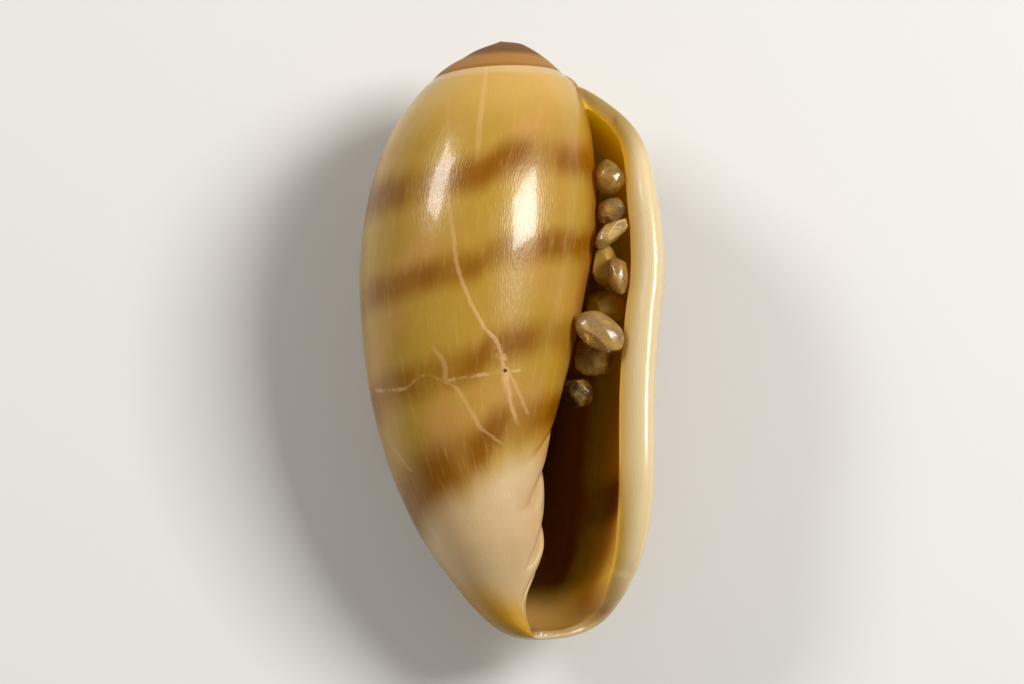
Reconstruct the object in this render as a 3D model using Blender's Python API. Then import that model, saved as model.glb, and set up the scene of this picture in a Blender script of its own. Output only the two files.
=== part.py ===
"""A small glossy sea shell lying on its back, with sand grains lodged in its aperture.

Sizes below are in millimetres. The shell is worked out about its coiling axis: x to the right,
y away from the viewer of the aperture, z up the axis from the tip to the apex. At the end it is
laid down: the apex to +Y, the aperture to +Z and the outer lip to +X.
"""

import math

import bmesh
import bpy
import numpy as np

MM = 0.001

# Growth, in whorls counted from the lip: 0 at the lip, -1 one whorl earlier.
FIRST_WHORL = -3.4
CAVITY_DEPTH = 0.55
COLUMNS_PER_WHORL = 44
CAVITY_COLUMNS = round(CAVITY_DEPTH * COLUMNS_PER_WHORL)

# The suture: whorl, distance from the axis, height above the tip.
SUTURE_HEIGHT = (
    (-3.4, 8.5), (-2.4, 8.5), (-2.2, 8.48), (-2.0, 8.42), (-1.75, 8.29), (-1.5, 8.16),
    (-1.25, 8.05), (-1.0, 7.97), (-0.5, 7.92), (0.0, 7.79), (0.5, 7.62), (1.0, 7.4),
)
SUTURE_RADIUS = (
    (-3.4, 0.0), (-2.4, 0.0), (-2.2, 0.17), (-2.0, 0.325), (-1.75, 0.5), (-1.5, 0.66),
    (-1.25, 0.775), (-1.0, 0.855),
)

# Outlines of the last whorl as (height above the tip, distance from the axis).
PARIETAL_OUTLINE = (
    (7.97, 0.85), (7.9, 0.925), (7.79, 1.02), (7.6, 1.1), (7.35, 1.175), (7.0, 1.225),
    (6.4, 1.252), (6.0, 1.243), (5.6, 1.205), (5.2, 1.13), (4.8, 1.03), (4.4, 0.935),
    (4.0, 0.83), (3.6, 0.71), (3.2, 0.59), (2.84, 0.48), (2.5, 0.405), (2.1, 0.36),
    (1.7, 0.345), (1.3, 0.325), (1.0, 0.245), (0.8, 0.15), (0.6, 0.065), (0.45, 0.04),
    (0.3, 0.05), (0.15, 0.09), (0.05, 0.13), (0.0, 0.17),
)
LEFT_OUTLINE = (
    (7.92, 1.0), (7.8, 1.131), (7.6, 1.312), (7.35, 1.502), (7.0, 1.691), (6.7, 1.809),
    (6.4, 1.905), (6.0, 1.99), (5.6, 2.052), (5.2, 2.085), (4.8, 2.086), (4.4, 2.071),
    (4.0, 2.044), (3.6, 1.996), (3.2, 1.925), (2.8, 1.836), (2.4, 1.71), (2.0, 1.556),
    (1.6, 1.375), (1.3, 1.21), (1.0, 1.01), (0.8, 0.867), (0.6, 0.722), (0.45, 0.595),
    (0.3, 0.452), (0.15, 0.277), (0.05, 0.09), (0.0, -0.17),
)
LIP_OUTLINE = (
    (7.79, 1.06), (7.7, 1.208), (7.6, 1.345), (7.5, 1.465), (7.35, 1.628), (7.2, 1.76),
    (7.0, 1.89), (6.7, 2.005), (6.4, 2.065), (6.0, 2.122), (5.6, 2.158), (5.2, 2.168),
    (4.8, 2.135), (4.4, 2.07), (4.0, 2.019), (3.6, 1.968), (3.2, 1.93), (2.8, 1.902),
    (2.4, 1.877), (2.0, 1.847), (1.6, 1.79), (1.3, 1.73), (1.0, 1.64), (0.8, 1.55),
    (0.6, 1.43), (0.45, 1.3), (0.3, 1.142), (0.15, 0.894), (0.05, 0.607), (0.0, 0.17),
)
BACK_FLATTENING = 0.95

# Where the lip ends, in degrees past the right-hand side, and how thick it is there.
LIP_TURN = (
    (0.0, -32.0), (0.1, -28.0), (0.3, -18.0), (0.6, -4.0), (1.0, 4.0), (1.6, 9.0),
    (2.4, 12.0), (4.0, 14.0), (6.0, 15.0), (6.8, 13.0), (7.3, 10.5), (7.79, 8.0),
)
LIP_THICKNESS = (
    (0.0, 0.11), (0.3, 0.18), (0.6, 0.28), (1.0, 0.38), (1.5, 0.45), (2.2, 0.49),
    (4.0, 0.48), (6.0, 0.42), (6.8, 0.33), (7.3, 0.24), (7.79, 0.2),
)
WALL_THICKNESS = 0.15
LIP_TAPER = 0.085
ROOM_SHARE_LIP = 0.6
ROOM_SHARE_DEEP = 0.33
LIP_BULGE = 0.34
LIP_SKEW = 0.8

# The plaits on the columella: heights of the grooves at the aperture's edge, and their depths.
GROOVE_HEIGHTS = (2.84, 2.27, 1.51, 0.95)
GROOVE_DEPTHS = (0.06, 0.19, 0.17, 0.04)
LAST_PLAIT_END = 0.35
PLAIT_DROP = 5.0
PLAIT_DROP_LIMIT = 0.8
PLAIT_FADE = (20.0, 75.0)

# Rows of the mesh down the whorl: the spire band, the band that the next whorl covers and seals,
# then these heights at the aperture's edge.
SPIRE_ROWS = 2
SEAL_ROWS = 4
BODY_HEIGHTS = (
    7.15, 6.9, 6.6, 6.2, 5.75, 5.3, 4.85, 4.4, 4.0, 3.6, 3.2, 2.84, 2.72, 2.56, 2.4, 2.27,
    2.1, 1.95, 1.75, 1.6, 1.51, 1.4, 1.28, 1.1, 0.95, 0.8, 0.65, 0.5, 0.36, 0.24, 0.14,
    0.07, 0.025, 0.006, 0.0,
)
SEAL_PER_THICKNESS = 0.2
BAND_BULGE = 0.02

# The two ends of the columella's tip: outside, and inside where the rim and the floor meet it.
OUTER_TIP = (0.17, 0.0, 0.0)
INNER_TIP = (0.11, 0.05, 0.13)

# The flat spot under the back, and the frame of the laid-down shell.
FLAT_SPOT_DEPTH = 0.06
BACK_REACH = 1.99
MIDDLE = (0.041, 4.25)

# Sand grains: name, place (right, away, up), half sizes, turn in the picture plane, seed.
GRAINS = (
    ("sand_grain_round", (1.44, -0.42, 6.4), (0.21, 0.2, 0.25), 0, 3),
    ("sand_grain_grey", (1.46, -0.3, 5.93), (0.22, 0.19, 0.21), 10, 11),
    ("sand_grain_sliver", (1.43, -0.54, 5.57), (0.29, 0.12, 0.13), 40, 5),
    ("sand_grain_yellow", (1.34, -0.14, 5.2), (0.19, 0.2, 0.28), 0, 8),
    ("sand_grain_pink", (1.51, -0.46, 4.99), (0.14, 0.18, 0.29), 5, 21),
    ("sand_grain_amber", (1.34, 0.1, 4.66), (0.29, 0.2, 0.25), 0, 13),
    ("sand_grain_oval", (1.22, -0.6, 4.18), (0.38, 0.18, 0.23), -38, 29),
    ("sand_grain_dark", (1.14, -0.04, 3.94), (0.29, 0.22, 0.28), 0, 19),
    ("sand_grain_brown", (0.89, 0.1, 3.46), (0.21, 0.2, 0.21), 0, 23),
)
GRAIN_POINTS = 48


def smooth_curve(points, at):
    """A monotone cubic through POINTS, a list of (position, value), read at the positions AT."""
    points = np.array(sorted(points), float)
    x, y = points[:, 0], points[:, 1]
    step = np.diff(x)
    slope = np.diff(y) / step
    tangent = np.empty_like(y)
    tangent[0], tangent[-1] = slope[0], slope[-1]
    before, after = slope[:-1], slope[1:]
    same_way = before * after > 0
    mean = 3 * (step[1:] + step[:-1])
    first = 2 * step[1:] + step[:-1]
    second = step[1:] + 2 * step[:-1]
    safe_before = np.where(same_way, before, 1.0)
    safe_after = np.where(same_way, after, 1.0)
    tangent[1:-1] = np.where(same_way, mean / (first / safe_before + second / safe_after), 0.0)
    at = np.clip(at, x[0], x[-1])
    i = np.clip(np.searchsorted(x, at, side="right") - 1, 0, len(step) - 1)
    u = (at - x[i]) / step[i]
    return (
        y[i] * (1 + 2 * u) * (1 - u) ** 2
        + tangent[i] * step[i] * u * (1 - u) ** 2
        + y[i + 1] * u * u * (3 - 2 * u)
        + tangent[i + 1] * step[i] * u * u * (u - 1)
    )


def smooth_step(low, high, at):
    u = np.clip((at - low) / (high - low), 0, 1)
    return u * u * (3 - 2 * u)


def outline_at(outline, height):
    """The outline read at a height, on a scale that keeps the rounded tip smooth."""
    scaled = [(math.sqrt(level), value) for level, value in outline]
    return smooth_curve(scaled, np.sqrt(np.maximum(height, 0)))


def lip_turn_at(height):
    return smooth_curve(LIP_TURN, height)


def spiral_through(parietal, left, lip, lip_angle):
    """The spiral x = pole + radius * growth ** whorls * cos(angle) through three outlines."""
    low = np.full_like(parietal, 0.2)
    high = np.full_like(parietal, 60.0)
    turn = lip_angle / 360
    for _ in range(48):
        growth = np.sqrt(low * high)
        radius = (parietal + left) / (1 + np.sqrt(growth))
        pole = parietal - radius
        reach = pole + radius * growth**turn * np.cos(2 * math.pi * turn)
        high = np.where(reach > lip, growth, high)
        low = np.where(reach > lip, low, growth)
    return pole, radius, growth


def groove_depth(height):
    """How far the columella's surface is cut in at a row that has this height at the edge."""
    ends = GROOVE_HEIGHTS[1:] + (LAST_PLAIT_END,)
    last_depths = GROOVE_DEPTHS[1:] + (0.0,)
    depth = np.zeros_like(height)
    for top, end, above, below in zip(GROOVE_HEIGHTS, ends, GROOVE_DEPTHS, last_depths):
        down = np.clip((top - height) / (top - end), 0, 1)
        valley = above * (1 - down) + below * down
        cut = valley * (1 - np.sin(math.pi * down**0.75)) ** 1.5
        inside = (height <= top) & (height >= end)
        depth = np.where(inside, cut, depth)
    lead = GROOVE_DEPTHS[0] * np.clip(1 - (height - GROOVE_HEIGHTS[0]) / 0.1, 0, 1) ** 2
    return np.where(height > GROOVE_HEIGHTS[0], lead, depth)


def row_height(whorl, share):
    """Height of a row at the edge of the aperture, for a share of the way from suture to tip."""
    return smooth_curve(SUTURE_HEIGHT, whorl) * (1 - share)


def plait_shift(whorl, row):
    """How much lower a row runs at this whorl because the rows follow the plaits."""
    past_edge = whorl + 1
    drop = PLAIT_DROP_LIMIT * np.tanh(PLAIT_DROP * past_edge / PLAIT_DROP_LIMIT)
    near_front = 1 - smooth_step(-0.8, -0.35, whorl)
    window = np.clip((row - 0.05) / 1.25, 0, 1) * (1 - smooth_step(3.0, 4.8, row))
    return drop * near_front * window


def tip_lift(whorl, height):
    """How much the rows inside the aperture end above the tip, to leave room for the rim."""
    covered = 1 - smooth_step(-1.0, -0.88, whorl)
    return INNER_TIP[2] * covered * np.clip(1 - height, 0, 1)


def body_point(whorl, share):
    """Points of the outside of the last whorl and of the whorl under it."""
    whorl, share = np.broadcast_arrays(np.asarray(whorl, float), np.asarray(share, float))
    row = row_height(whorl, share)
    height = row - plait_shift(whorl, row)
    height = height + tip_lift(whorl, height)
    top = smooth_curve(SUTURE_HEIGHT, whorl)
    level = height / top
    lip_angle = 360 + np.minimum(lip_turn_at(height), 0)
    parietal = outline_at(PARIETAL_OUTLINE, level * PARIETAL_OUTLINE[0][0])
    left = outline_at(LEFT_OUTLINE, level * LEFT_OUTLINE[0][0])
    lip = outline_at(LIP_OUTLINE, level * LIP_OUTLINE[0][0])
    pole, radius, growth = spiral_through(parietal, left, lip, lip_angle)
    angle = 360 * (whorl + 1) + lip_turn_at(height)
    reach = radius * growth ** (angle / 360)
    fade = 1 - smooth_step(PLAIT_FADE[0], PLAIT_FADE[1], angle)
    reach = reach - groove_depth(row) * fade * (whorl < -0.6)
    turn = np.radians(angle)
    x = pole + reach * np.cos(turn)
    y = -BACK_FLATTENING * reach * np.sin(turn)
    return np.stack([x, y, height], axis=-1)


def suture_point(whorl):
    """The line where a whorl meets the one before it."""
    if whorl >= -1:
        return body_point(whorl, 0.0)
    radius = smooth_curve(SUTURE_RADIUS, whorl)
    height = smooth_curve(SUTURE_HEIGHT, whorl)
    turn = math.radians(360 * (whorl + 1) + lip_turn_at(7.9))
    x = radius * math.cos(turn)
    y = -BACK_FLATTENING * radius * math.sin(turn)
    return np.array([x, y, float(height)])


def spire_point(whorl, share):
    """Points of a spire band, a share of the way from its suture to the next one."""
    upper = suture_point(whorl)
    lower = suture_point(whorl + 1)
    point = upper * (1 - share) + lower * share
    outward = np.array([point[0], point[1], 0.0])
    length = math.hypot(point[0], point[1])
    slope = np.array([0.0, 0.0, 1.0]) + outward / max(length, 1e-6)
    return point + slope * BAND_BULGE * 4 * share * (1 - share) * min(1.0, length / 0.4)


def near_lip(whorl):
    """1 at the lip, falling to 0 over a tenth of a whorl."""
    return np.exp(-((whorl / LIP_TAPER) ** 2))


def thickness_at(whorl, height):
    """Thickness of the wall, which swells towards the lip."""
    lip = smooth_curve(LIP_THICKNESS, height)
    wall = np.minimum(lip, WALL_THICKNESS)
    return wall + (lip - wall) * near_lip(whorl)


def seal_shares(whorl):
    """Shares at which the band that the next whorl seals to begins and ends."""
    below = smooth_curve(SUTURE_HEIGHT, whorl + 1) / smooth_curve(SUTURE_HEIGHT, whorl)
    top_thickness = thickness_at(np.minimum(whorl + 1, 0.0), 7.6)
    return 1 - below, 1 - below + SEAL_PER_THICKNESS * top_thickness


def row_shares(whorl):
    """The share of every row of one column, from the suture to the tip."""
    start, end = seal_shares(whorl)
    top = PARIETAL_OUTLINE[0][0]
    spire = np.linspace(0, start, SPIRE_ROWS + 1)[:-1]
    seal = np.linspace(start, end, SEAL_ROWS + 1)
    body = 1 - np.array(BODY_HEIGHTS) / top
    return np.concatenate([spire, seal, body])


def outside_grid(whorls):
    """Points of every row at every whorl, as a grid."""
    shares = np.array([row_shares(whorl) for whorl in whorls])
    return body_point(whorls[:, None], shares), shares


def inward_offsets(whorls, shares):
    """Unit normals of the outside, pointing into the wall."""
    step = 1e-3
    inner_shares = np.clip(shares, 0.002, 0.9995)
    along = body_point(whorls[:, None] + step, inner_shares)
    along = along - body_point(whorls[:, None] - step, inner_shares)
    down = body_point(whorls[:, None], inner_shares + step / 4)
    down = down - body_point(whorls[:, None], inner_shares - step / 4)
    normal = np.cross(down, along)
    return normal / np.linalg.norm(normal, axis=-1, keepdims=True)


def inside_grid(whorls):
    """Points of the inside of the last whorl, offset from its outside by the wall thickness."""
    shares = np.array([row_shares(whorl) for whorl in whorls])
    seal_start, seal_end = seal_shares(whorls - 1)
    drop = 0.5 * (seal_end - seal_start)[:, None]
    lowered = shares + drop * np.clip(1 - shares / 0.3, 0, 1)
    outside = body_point(whorls[:, None], lowered)
    offset = inward_offsets(whorls, lowered)
    thick = thickness_at(whorls[:, None], outside[..., 2])
    room = np.linalg.norm(outside - body_point(whorls[:, None] - 1, lowered), axis=-1)
    most = ROOM_SHARE_DEEP + (ROOM_SHARE_LIP - ROOM_SHARE_DEEP) * near_lip(whorls[:, None])
    return outside + offset * np.minimum(thick, most * room)[..., None]


class Skin:
    """Vertices and faces of the shell's one closed surface."""

    def __init__(self):
        self.points = []
        self.faces = []

    def vertex(self, point):
        self.points.append(tuple(float(value) for value in point))
        return len(self.points) - 1

    def face(self, *corners):
        kept = [c for i, c in enumerate(corners) if c != corners[i - 1]]
        if len(set(kept)) > 2:
            self.faces.append(tuple(kept))


def spire_columns(skin, apex, columns, whorls):
    """The rows of the spire, whorl by whorl, each starting on the last row of the one before."""
    rows = [[apex] * (SPIRE_ROWS + 1)]
    for column in range(1, columns + 1):
        started = column > COLUMNS_PER_WHORL
        first = rows[column - COLUMNS_PER_WHORL][SPIRE_ROWS] if started else apex
        line = [first]
        for row in range(1, SPIRE_ROWS + 1):
            line.append(skin.vertex(spire_point(whorls[column], row / SPIRE_ROWS)))
        rows.append(line)
    return rows


def build_shell_skin():
    """The shell as one closed skin: spire, last whorl, lip, inside and columella."""
    skin = Skin()
    total = round(-FIRST_WHORL * COLUMNS_PER_WHORL)
    whorls = np.arange(-total, 1) / COLUMNS_PER_WHORL
    seal_row = SPIRE_ROWS + SEAL_ROWS
    last_row = seal_row + len(BODY_HEIGHTS)
    body_start = total - COLUMNS_PER_WHORL
    cavity_start = total - CAVITY_COLUMNS
    covered_start = body_start - CAVITY_COLUMNS

    apex = skin.vertex((0, 0, SUTURE_HEIGHT[0][1]))
    outer_tip = skin.vertex(OUTER_TIP)
    inner_tip = skin.vertex(INNER_TIP)
    rows = spire_columns(skin, apex, body_start - 1, whorls)

    grid, _ = outside_grid(whorls[covered_start:])
    outer = {}
    for column, line in enumerate(rows):
        for row, vertex in enumerate(line):
            outer[column, row] = vertex
    for column in range(covered_start, total + 1):
        points = grid[column - covered_start]
        first = 0 if column >= body_start else seal_row
        for row in range(first, last_row):
            if row == 0:
                outer[column, row] = outer[column - COLUMNS_PER_WHORL, SPIRE_ROWS]
            elif (column, row) not in outer:
                outer[column, row] = skin.vertex(points[row])
        outer[column, last_row] = outer_tip if column >= body_start else inner_tip

    inner_grid = inside_grid(whorls[cavity_start:])
    inner = {}
    for column in range(cavity_start, total + 1):
        inner[column, 0] = outer[column - COLUMNS_PER_WHORL, seal_row]
        for row in range(1, last_row):
            inner[column, row] = skin.vertex(inner_grid[column - cavity_start][row])
        inner[column, last_row] = inner_tip

    lip = build_lip(skin, outer, inner, total, body_start, last_row)
    join_outside(skin, outer, lip, total, body_start, covered_start, last_row)
    for column in range(cavity_start, total):
        for row in range(last_row):
            skin.face(
                inner[column, row], inner[column + 1, row],
                inner[column + 1, row + 1], inner[column, row + 1],
            )
    close_cavity(skin, outer, inner, covered_start, cavity_start, last_row)
    return skin


def build_lip(skin, outer, inner, total, body_start, last_row):
    """The rounded edge of the lip, from the outside to the inside."""
    edge_whorl = np.array([0.0])
    shares = np.minimum(np.array([row_shares(0.0)]), 0.9995)
    ahead = body_point(edge_whorl[:, None] + 1e-3, shares) - body_point(edge_whorl[:, None], shares)
    ahead = (ahead / np.linalg.norm(ahead, axis=-1, keepdims=True))[0]
    lip = {}
    for row in range(last_row + 1):
        start = np.array(skin.points[outer[total, row]])
        end = np.array(skin.points[inner[total, row]])
        across = end - start
        width = np.linalg.norm(across)
        settle = min(1.0, row / 3, (last_row - row) / 2)
        for k in range(SEAL_ROWS + 1):
            if k == 0:
                lip[k, row] = outer[total, row]
            elif k == SEAL_ROWS:
                lip[k, row] = inner[total, row]
            elif row == 0:
                lip[k, row] = outer[body_start, SPIRE_ROWS + k]
            else:
                turn = math.pi * (k / SEAL_ROWS) ** LIP_SKEW
                place = start + across * (1 - math.cos(turn)) / 2
                place = place + ahead[row] * LIP_BULGE * width * math.sin(turn) * settle
                lip[k, row] = skin.vertex(place)
    for row in range(last_row):
        for k in range(SEAL_ROWS):
            skin.face(lip[k, row], lip[k + 1, row], lip[k + 1, row + 1], lip[k, row + 1])
    return lip


def join_outside(skin, outer, lip, total, body_start, covered_start, last_row):
    """Faces of the spire, the last whorl and the columella inside the aperture."""
    seal_row = SPIRE_ROWS + SEAL_ROWS
    for column in range(total):
        for row in range(last_row):
            if SPIRE_ROWS <= row < seal_row and column < body_start:
                continue
            if row >= seal_row and column < covered_start:
                continue
            corners = [outer[column, row], outer[column, row + 1]]
            if row == last_row - 1 and column == body_start - 1:
                corners += [lip[k, last_row] for k in range(SEAL_ROWS, 0, -1)]
            corners += [outer[column + 1, row + 1], outer[column + 1, row]]
            skin.face(*corners)


def close_cavity(skin, outer, inner, covered_start, cavity_start, last_row):
    """The wall that ends the hollow deep inside, out of sight."""
    seal_row = SPIRE_ROWS + SEAL_ROWS
    corner = inner[cavity_start, 0]
    for row in range(1, seal_row):
        skin.face(corner, inner[cavity_start, row], inner[cavity_start, row + 1])
    for row in range(seal_row, last_row):
        skin.face(
            outer[covered_start, row], inner[cavity_start, row],
            inner[cavity_start, row + 1], outer[covered_start, row + 1],
        )


def laid_down(points):
    """Turns points worked out about the coiling axis into the frame of the part, in metres."""
    points = np.array(points, float)
    points[:, 1] = np.minimum(points[:, 1], BACK_REACH - FLAT_SPOT_DEPTH)
    across = points[:, 0] - MIDDLE[0]
    along = points[:, 2] - MIDDLE[1]
    up = BACK_REACH - FLAT_SPOT_DEPTH - points[:, 1]
    return np.stack([across, along, up], axis=1) * MM


def grain_points(place, half_sizes, turn, seed):
    """Corner points of one worn sand grain."""
    random = np.random.default_rng(seed)
    directions = random.normal(size=(GRAIN_POINTS, 3))
    directions /= np.linalg.norm(directions, axis=1, keepdims=True)
    lengths = random.uniform(0.98, 1.08, size=(GRAIN_POINTS, 1))
    points = directions * lengths * np.array(half_sizes)
    angle = math.radians(turn)
    x = points[:, 0] * math.cos(angle) - points[:, 2] * math.sin(angle)
    z = points[:, 0] * math.sin(angle) + points[:, 2] * math.cos(angle)
    return np.stack([x, points[:, 1], z], axis=1) + np.array(place)


def principled(name, colour, roughness, **more):
    material = bpy.data.materials.new(name)
    material.use_nodes = True
    shader = material.node_tree.nodes["Principled BSDF"]
    shader.inputs["Base Color"].default_value = (*colour, 1.0)
    shader.inputs["Roughness"].default_value = roughness
    for socket, value in more.items():
        shader.inputs[socket].default_value = value
    material.diffuse_color = (*colour, 1.0)
    return material


def add_object(name, mesh_data, material, sharp_angle):
    mesh = bpy.data.meshes.new(name)
    mesh_data.to_mesh(mesh)
    mesh_data.free()
    mesh.materials.append(material)
    mesh.shade_smooth()
    mesh.set_sharp_from_angle(angle=math.radians(sharp_angle))
    obj = bpy.data.objects.new(name, mesh)
    bpy.context.scene.collection.objects.link(obj)
    return obj


def add_shell(material):
    skin = build_shell_skin()
    mesh_data = bmesh.new()
    vertices = [mesh_data.verts.new(point) for point in laid_down(skin.points)]
    for face in skin.faces:
        mesh_data.faces.new([vertices[i] for i in face])
    bmesh.ops.recalc_face_normals(mesh_data, faces=mesh_data.faces)
    return add_object("shell", mesh_data, material, 50)


def add_grain(name, place, half_sizes, turn, seed, material):
    mesh_data = bmesh.new()
    for point in laid_down(grain_points(place, half_sizes, turn, seed)):
        mesh_data.verts.new(point)
    hull = bmesh.ops.convex_hull(mesh_data, input=mesh_data.verts)
    loose = [item for item in hull["geom_interior"] if isinstance(item, bmesh.types.BMVert)]
    bmesh.ops.delete(mesh_data, geom=loose, context="VERTS")
    bmesh.ops.recalc_face_normals(mesh_data, faces=mesh_data.faces)
    return add_object(name, mesh_data, material, 25)


def main():
    for obj in list(bpy.data.objects):
        bpy.data.objects.remove(obj)
    shell_finish = principled("shell_finish", (0.62, 0.45, 0.18), 0.18)
    quartz = principled("quartz", (0.75, 0.68, 0.52), 0.12, **{"Transmission Weight": 0.7})
    add_shell(shell_finish)
    for name, place, half_sizes, turn, seed in GRAINS:
        add_grain(name, place, half_sizes, turn, seed, quartz)


main()
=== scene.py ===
"""The look of a small glossy sea shell lying on its back, with sand grains lodged in its aperture.

Sizes are in millimetres and turns in degrees, until a mesh, a light or the camera is made. The
shell is worked out about its coiling axis: x to the right, y away from the viewer of the
aperture, z up the axis from the tip to the apex. Its outlines are those of the solid that it
stands for, read at more rows and columns.
"""

import math
from collections import namedtuple

import bmesh
import bpy
import numpy as np
from mathutils import Matrix, Vector


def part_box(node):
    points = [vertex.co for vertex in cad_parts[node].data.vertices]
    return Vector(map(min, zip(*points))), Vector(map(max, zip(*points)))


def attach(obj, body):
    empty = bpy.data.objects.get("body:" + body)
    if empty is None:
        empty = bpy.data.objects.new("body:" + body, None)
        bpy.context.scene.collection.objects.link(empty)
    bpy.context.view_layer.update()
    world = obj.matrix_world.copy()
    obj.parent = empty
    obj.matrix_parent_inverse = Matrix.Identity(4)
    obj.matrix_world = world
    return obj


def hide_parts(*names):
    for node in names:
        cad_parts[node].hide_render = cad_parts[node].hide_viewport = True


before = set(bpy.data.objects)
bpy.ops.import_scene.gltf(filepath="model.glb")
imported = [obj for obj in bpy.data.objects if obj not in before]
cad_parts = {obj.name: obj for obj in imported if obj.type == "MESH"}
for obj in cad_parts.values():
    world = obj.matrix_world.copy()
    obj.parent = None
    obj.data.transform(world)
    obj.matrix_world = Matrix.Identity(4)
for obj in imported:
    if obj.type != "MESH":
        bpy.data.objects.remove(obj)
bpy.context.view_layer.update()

MM = 0.001

# Growth, in whorls counted from the lip: 0 at the lip, -1 one whorl earlier.
FIRST_WHORL = -3.4
CAVITY_DEPTH = 0.55
COLUMNS_PER_WHORL = 176
CAVITY_COLUMNS = round(CAVITY_DEPTH * COLUMNS_PER_WHORL)

# The suture: whorl, distance from the axis, height above the tip.
SUTURE_HEIGHT = (
    (-3.4, 8.5), (-2.4, 8.5), (-2.2, 8.48), (-2.0, 8.42), (-1.75, 8.29), (-1.5, 8.16),
    (-1.25, 8.05), (-1.0, 7.97), (-0.5, 7.92), (0.0, 7.79), (0.5, 7.62), (1.0, 7.4),
)
SUTURE_RADIUS = (
    (-3.4, 0.0), (-2.4, 0.0), (-2.2, 0.17), (-2.0, 0.325), (-1.75, 0.5), (-1.5, 0.66),
    (-1.25, 0.775), (-1.0, 0.855),
)

# Outlines of the last whorl as (height above the tip, distance from the axis).
PARIETAL_OUTLINE = (
    (7.97, 0.85), (7.9, 0.925), (7.79, 1.02), (7.6, 1.1), (7.35, 1.175), (7.0, 1.225),
    (6.4, 1.252), (6.0, 1.243), (5.6, 1.205), (5.2, 1.13), (4.8, 1.03), (4.4, 0.935),
    (4.0, 0.83), (3.6, 0.71), (3.2, 0.59), (2.84, 0.48), (2.5, 0.405), (2.1, 0.36),
    (1.7, 0.345), (1.3, 0.325), (1.0, 0.245), (0.8, 0.15), (0.6, 0.065), (0.45, 0.04),
    (0.3, 0.05), (0.15, 0.09), (0.05, 0.13), (0.0, 0.17),
)
LEFT_OUTLINE = (
    (7.92, 1.0), (7.8, 1.131), (7.6, 1.312), (7.35, 1.502), (7.0, 1.691), (6.7, 1.809),
    (6.4, 1.905), (6.0, 1.99), (5.6, 2.052), (5.2, 2.085), (4.8, 2.086), (4.4, 2.071),
    (4.0, 2.044), (3.6, 1.996), (3.2, 1.925), (2.8, 1.836), (2.4, 1.71), (2.0, 1.556),
    (1.6, 1.375), (1.3, 1.21), (1.0, 1.01), (0.8, 0.867), (0.6, 0.722), (0.45, 0.595),
    (0.3, 0.452), (0.15, 0.277), (0.05, 0.09), (0.0, -0.17),
)
LIP_OUTLINE = (
    (7.79, 1.06), (7.7, 1.208), (7.6, 1.345), (7.5, 1.465), (7.35, 1.628), (7.2, 1.76),
    (7.0, 1.89), (6.7, 2.005), (6.4, 2.065), (6.0, 2.122), (5.6, 2.158), (5.2, 2.168),
    (4.8, 2.135), (4.4, 2.07), (4.0, 2.019), (3.6, 1.968), (3.2, 1.93), (2.8, 1.902),
    (2.4, 1.877), (2.0, 1.847), (1.6, 1.79), (1.3, 1.73), (1.0, 1.64), (0.8, 1.55),
    (0.6, 1.43), (0.45, 1.3), (0.3, 1.142), (0.15, 0.894), (0.05, 0.607), (0.0, 0.17),
)
BACK_FLATTENING = 0.95

# Growth in one whorl, as a factor, lies in this range, and is found by halving it this often.
GROWTH_RANGE = (0.2, 60.0)
GROWTH_HALVINGS = 48

# Where the lip ends, in degrees past the right-hand side, and how thick it is there.
LIP_TURN = (
    (0.0, -32.0), (0.1, -28.0), (0.3, -18.0), (0.6, -4.0), (1.0, 4.0), (1.6, 9.0),
    (2.4, 12.0), (4.0, 14.0), (6.0, 15.0), (6.8, 13.0), (7.3, 10.5), (7.79, 8.0),
)
LIP_THICKNESS = (
    (0.0, 0.11), (0.3, 0.18), (0.6, 0.28), (1.0, 0.38), (1.5, 0.45), (2.2, 0.49),
    (4.0, 0.48), (6.0, 0.42), (6.8, 0.33), (7.3, 0.24), (7.79, 0.2),
)

# The wall behind the lip, how soon the lip thins to it, the most that it fills of the room
# between two whorls, and the shape of the lip's rounded edge.
WALL_THICKNESS = 0.15
LIP_TAPER = 0.085
ROOM_SHARE_LIP = 0.6
ROOM_SHARE_DEEP = 0.33
LIP_BULGE = 0.34
LIP_SKEW = 0.8
LIP_CREST = 0.5

# The plaits on the columella: heights of the grooves at the aperture's edge, their depths, where
# the last plait ends, and how a groove is shaped.
GROOVE_HEIGHTS = (2.84, 2.27, 1.51, 0.95)
GROOVE_DEPTHS = (0.06, 0.19, 0.17, 0.04)
LAST_PLAIT_END = 0.35
GROOVE_LEAD = 0.1
GROOVE_LEAN = 0.75
GROOVE_SHARPNESS = 1.5

# Where the grooves end: the degrees over which they fade, and the whorl past which there is none.
PLAIT_FADE = (20.0, 75.0)
LAST_GROOVED_WHORL = -0.6

# How the rows follow the plaits: how steeply and how far they drop, the whorls over which that
# ends, how far above the tip it starts, over how much it grows, and the heights where it ends.
PLAIT_DROP = 5.0
PLAIT_DROP_LIMIT = 0.8
PLAIT_WHORLS = (-0.8, -0.35)
PLAIT_FOOT = 0.05
PLAIT_FOOT_REACH = 1.25
PLAIT_TOP = (3.0, 4.8)

# Rows of the mesh down the whorl: the spire band, the band that the next whorl covers and seals,
# then these heights at the aperture's edge, each stretch between two of them cut again.
SPIRE_ROWS = 8
SEAL_ROWS = 14
BODY_HEIGHTS = (
    7.15, 6.9, 6.6, 6.2, 5.75, 5.3, 4.85, 4.4, 4.0, 3.6, 3.2, 2.84, 2.72, 2.56, 2.4, 2.27,
    2.1, 1.95, 1.75, 1.6, 1.51, 1.4, 1.28, 1.1, 0.95, 0.8, 0.65, 0.5, 0.36, 0.24, 0.14,
    0.07, 0.025, 0.006, 0.0,
)
CUTS_PER_STRETCH = 5

# Over how many rows from its top and from its foot the lip's edge becomes round.
SETTLE_ROWS = (11, 10)

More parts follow.
